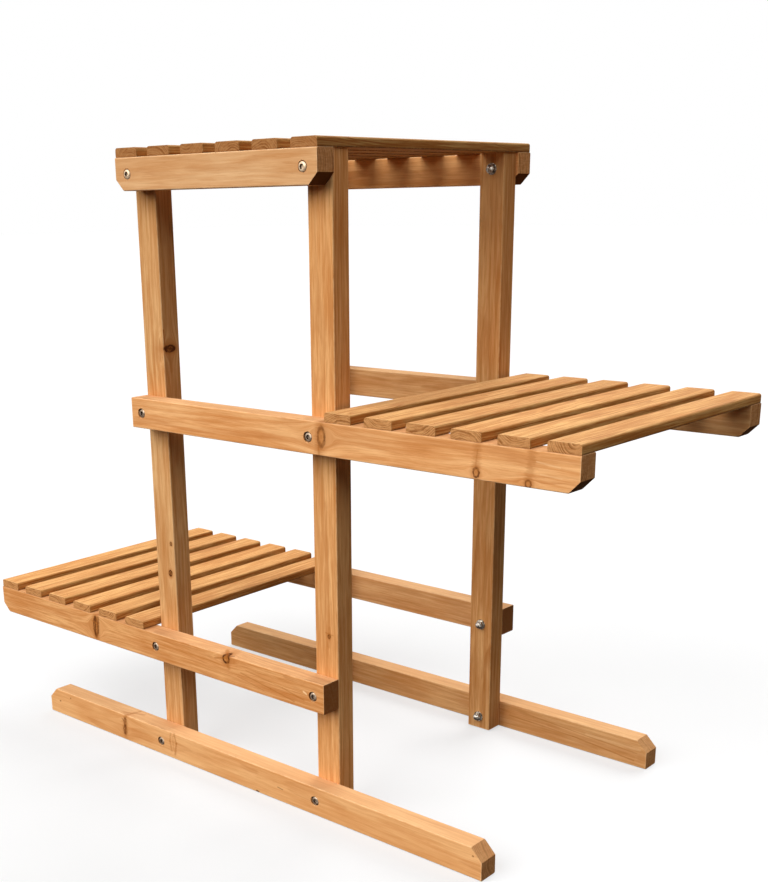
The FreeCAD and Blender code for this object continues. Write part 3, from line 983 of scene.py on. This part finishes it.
def bolt_shape(length):
    """A crowned head with a hexagon socket below Z 0, and a shank above it."""
    top = -head_height
    flat_radius, crown_radius, crown_start = 3.15, 3.4, top + 0.04
    crown_reach, crown_fall, crown_steps = 2.2, 2.1, 6
    profile = [(0, top), (flat_radius, top), (crown_radius, crown_start)]
    for step in range(1, crown_steps):
        turn = step / crown_steps * math.pi / 2
        reached = crown_radius + crown_reach * math.sin(turn)
        profile.append((reached, crown_start + crown_fall * (1 - math.cos(turn))))
    profile += [
        (head_radius - 0.06, -1.0),
        (head_radius, -0.75),
        (head_radius, -0.15),
        (head_radius - 0.12, 0),
        (bolt_radius, 0),
        (bolt_radius, length - bolt_tip_chamfer),
        (bolt_radius - bolt_tip_chamfer, length),
        (0, length),
    ]
    body = finished(turned(profile), "bolt")
    corner_radius = socket_across_flats / math.sqrt(3)
    mouth_radius = corner_radius + 0.25
    floor = top + socket_depth
    socket = turned([
        (0, floor + 0.5),
        (corner_radius, floor),
        (corner_radius, top + 0.22),
        (mouth_radius, top - 0.03),
        (mouth_radius, top - cutter_overrun),
        (0, top - cutter_overrun),
    ], hexagon_steps)
    bolt = carved(body, finished(socket, "socket"))
    # The socket's walls take the second material, the dark grime and painted shade of the recess.
    for face in bolt.data.polygons:
        x, y, z = face.center
        in_socket = z < -0.5 and math.hypot(x, y) < corner_radius * 0.95
        is_wall = abs(face.normal.z) < 0.7
        face.material_index = 1 if in_socket and is_wall else 0
    return bolt


def washer_shape():
    """A flat washer from Z 0 upwards, its edges eased."""
    bore = bolt_radius + washer_clearance
    return finished(turned([
        (bore, 0),
        (washer_radius - washer_edge, 0),
        (washer_radius, washer_edge),
        (washer_radius, washer_thickness - washer_edge),
        (washer_radius - washer_edge, washer_thickness),
        (bore + washer_edge, washer_thickness),
        (bore, washer_thickness - washer_edge),
        (bore, 0),
    ]), "washer")


def cap_nut_shape():
    """A low cap nut from Z 0 upwards: a chamfered hexagon under a dome, with a blind bore."""
    corner_radius = nut_across_flats / math.sqrt(3)
    hexagon = turned([
        (0, 0), (corner_radius, 0), (corner_radius, nut_hex_height), (0, nut_hex_height),
    ], hexagon_steps)
    barrel = turned([
        (0, -0.1),
        (corner_radius - 0.45, 0),
        (corner_radius + 0.05, 0.3),
        (corner_radius + 0.05, nut_hex_height - 0.75),
        (nut_across_flats / 2 - 0.15, nut_hex_height),
        (0, nut_hex_height + 0.1),
    ])
    nut = carved(finished(hexagon, "hexagon"), finished(barrel, "barrel"), "INTERSECT")
    dome_steps, dome_root = 8, nut_hex_height - 1
    dome = [(0, dome_root), (nut_dome_radius, dome_root), (nut_dome_radius, nut_hex_height)]
    for step in range(1, dome_steps + 1):
        turn = step / dome_steps * math.pi / 2
        rise = nut_dome_height * math.sin(turn)
        dome.append((nut_dome_radius * math.cos(turn), nut_hex_height + rise))
    nut = carved(nut, finished(turned(dome), "dome"), "UNION")
    bore_radius = bolt_radius + nut_bore_clearance
    bore = turned([
        (0, -cutter_overrun),
        (bore_radius, -cutter_overrun),
        (bore_radius, nut_bore_depth),
        (0, nut_bore_depth),
    ])
    return carved(nut, finished(bore, "bore"))


def set_of_four(single, name, height, distance):
    """Four copies of a fastener, one through each post at a height."""
    shape = bmesh.new()
    for side in (-1, 1):
        for x in post_centres:
            mesh = single.data.copy()
            mesh.transform(across(x, side * distance, height, side))
            shape.from_mesh(mesh)
            bpy.data.meshes.remove(mesh)
    return finished(shape, name, turn_outward=False)


def build_fasteners():
    """Bolts, washers and cap nuts at the four levels."""
    grey_zinc = plated_steel("grey_zinc", (0.44, 0.34, 0.25), (0.26, 0.19, 0.13), 0.38, 0.6)
    # The top washers and cap nuts sit in shade under the top shelf; their zinc is a copy with
    # less darkening underneath: painted light.
    shade_lifted_zinc = plated_steel("shade_lifted_zinc", (0.74, 0.66, 0.57), (0.18, 0.145, 0.11), 0.2, 0.6)
    # The top rail's heads are the same bolts, given a lighter cream copy of the zinc: painted
    # reflection.
    cream_zinc = plated_steel("cream_zinc", (0.68, 0.52, 0.35), (0.52, 0.38, 0.25), 0.42, 0.4)
    bright_zinc = plated_steel("bright_zinc", (0.80, 0.75, 0.66), (0.13, 0.11, 0.09), 0.16, 0.96)
    grime_and_shade = socket_grime_and_shade()
    washer, nut = washer_shape(), cap_nut_shape()
    nut_face = post_inner_y - washer_thickness
    for level, height in bolt_heights.items():
        seat = half_width - pocket_depths[level]
        bolt = bolt_shape(seat - nut_face + nut_bore_depth - gap_past_bolt)
        head_finish = cream_zinc if level == "top_rail" else grey_zinc
        nut_finish = shade_lifted_zinc if level == "top_rail" else bright_zinc
        kinds = (
            (bolt, "bolts", seat, head_finish),
            (washer, "washers", post_inner_y, nut_finish),
            (nut, "cap_nuts", nut_face, nut_finish),
        )
        for single, kind, distance, finish in kinds:
            four = set_of_four(single, f"{level}_{kind}_set", height, distance)
            stands_for(four, f"{level}_{kind}", finish)
            if kind == "bolts":
                four.data.materials.append(grime_and_shade)
        bpy.data.objects.remove(bolt)
    bpy.data.objects.remove(washer)
    bpy.data.objects.remove(nut)


def finish_brads():
    """The brads keep their CAD shape and get their steel."""
    steel = brad_steel()
    for level in ("lower", "middle", "top"):
        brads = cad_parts[f"{level}_slat_brads"]
        brads.data.materials.clear()
        brads.data.materials.append(steel)


# ---- Room, light, camera ----

floor_half_size = 30.0
floor_drop = 0.0005
floor_paper = (0.80, 0.80, 0.80, 1.0)
floor_bounce = (0.04, 0.039, 0.037, 1.0)
floor_glow_share = 0.6
white = (1.0, 1.0, 1.0, 1.0)
room_strength = 0.04

# Name, azimuth, elevation, strength and width, the angles in degrees.
suns = (
    ("front_light", 250.6, 34.0, 3.3, 57.0),
    ("back_light", 95.3, 41.0, 3.1, 50.0),
    ("right_light", 327.3, 41.4, 0.95, 29.0),
)

# The camera was solved from the stand's own corners: degrees, metres and pixels.
camera_yaw, camera_pitch, camera_roll = 42.274, -17.967, -1.059
camera_place = (1.08357, -1.230558, 0.718692)
focal_pixels = 1253.058
longer_side = 882
image_middle = (384, 441)
optical_middle = (315, 610)
sensor_width = 36.0


def seen_directly(tree):
    """1 for rays from the camera, from reflections and through glass, 0 for the others."""
    rays = add_node(tree, "ShaderNodeLightPath").outputs
    shown = maths(tree, "MAXIMUM", rays["Is Glossy Ray"], rays["Is Transmission Ray"])
    return maths(tree, "MAXIMUM", rays["Is Camera Ray"], shown)


def pale_floor():
    """A wide pale floor that takes a soft shadow and stays white to the camera."""
    shape = bmesh.new()
    bmesh.ops.create_grid(shape, x_segments=1, y_segments=1, size=floor_half_size)
    bmesh.ops.translate(shape, vec=(0, 0, -floor_drop), verts=shape.verts)
    floor = finished(shape, "pale_floor")
    material, tree = new_material("pale_floor")
    seen = seen_directly(tree)
    paper = add_node(tree, "ShaderNodeBsdfDiffuse", {"Color": floor_paper}).outputs[0]
    glow = add_node(tree, "ShaderNodeEmission", {"Color": white, "Strength": 1.0}).outputs[0]
    shown = add_node(tree, "ShaderNodeMixShader", {0: floor_glow_share, 1: paper, 2: glow})
    bounce = add_node(tree, "ShaderNodeBsdfDiffuse", {"Color": floor_bounce}).outputs[0]
    mixed = add_node(tree, "ShaderNodeMixShader", {0: seen, 1: bounce, 2: shown.outputs[0]})
    add_node(tree, "ShaderNodeOutputMaterial", {0: mixed.outputs[0]})
    floor.data.materials.append(material)


def white_room():
    """Soft light from all round that shows as plain white."""
    world = bpy.data.worlds.new("white_room")
    bpy.context.scene.world = world
    world.use_nodes = True
    tree = world.node_tree
    tree.nodes.clear()
    seen = seen_directly(tree)
    soft = add_node(tree, "ShaderNodeBackground", {"Color": white, "Strength": room_strength})
    plain = add_node(tree, "ShaderNodeBackground", {"Color": white, "Strength": 1.0})
    shown = {0: seen, 1: soft.outputs[0], 2: plain.outputs[0]}
    mixed = add_node(tree, "ShaderNodeMixShader", shown)
    add_node(tree, "ShaderNodeOutputWorld", {0: mixed.outputs[0]})


def soft_sun(name, azimuth, elevation, strength, width):
    """A wide soft sun. Azimuth goes from +X towards +Y, elevation up from the floor."""
    turn, rise = math.radians(azimuth), math.radians(elevation)
    level = Vector((math.cos(turn), math.sin(turn), 0)) * math.cos(rise)
    toward_light = level + Vector((0, 0, math.sin(rise)))
    lamp = bpy.data.lights.new(name, "SUN")
    lamp.energy = strength
    lamp.angle = math.radians(width)
    sun = bpy.data.objects.new(name, lamp)
    sun.rotation_euler = toward_light.to_track_quat("Z", "Y").to_euler()
    bpy.context.scene.collection.objects.link(sun)


def stand_camera():
    """The camera of the photograph."""
    yaw, pitch, roll = (math.radians(turn) for turn in (camera_yaw, camera_pitch, camera_roll))
    ahead = Vector((-math.sin(yaw), math.cos(yaw), 0))
    forward = ahead * math.cos(pitch) + Vector((0, 0, math.sin(pitch)))
    level_right = Vector((math.cos(yaw), math.sin(yaw), 0))
    level_up = level_right.cross(forward)
    right = math.cos(roll) * level_right + math.sin(roll) * level_up
    up = -math.sin(roll) * level_right + math.cos(roll) * level_up
    data = bpy.data.cameras.new("stand_camera")
    data.sensor_width = sensor_width
    data.lens = focal_pixels * sensor_width / longer_side
    data.shift_x = (image_middle[0] - optical_middle[0]) / longer_side
    data.shift_y = (optical_middle[1] - image_middle[1]) / longer_side
    data.clip_end = 100.0
    camera = bpy.data.objects.new("stand_camera", data)
    turn = Matrix((right, up, -forward)).transposed().to_4x4()
    camera.matrix_world = Matrix.Translation(Vector(camera_place)) @ turn
    bpy.context.scene.collection.objects.link(camera)
    bpy.context.scene.camera = camera


build_frame_boards()
build_slats()
build_fasteners()
finish_brads()
pale_floor()
white_room()
for sun_settings in suns:
    soft_sun(*sun_settings)
stand_camera()
bpy.context.scene.view_settings.view_transform = "Standard"
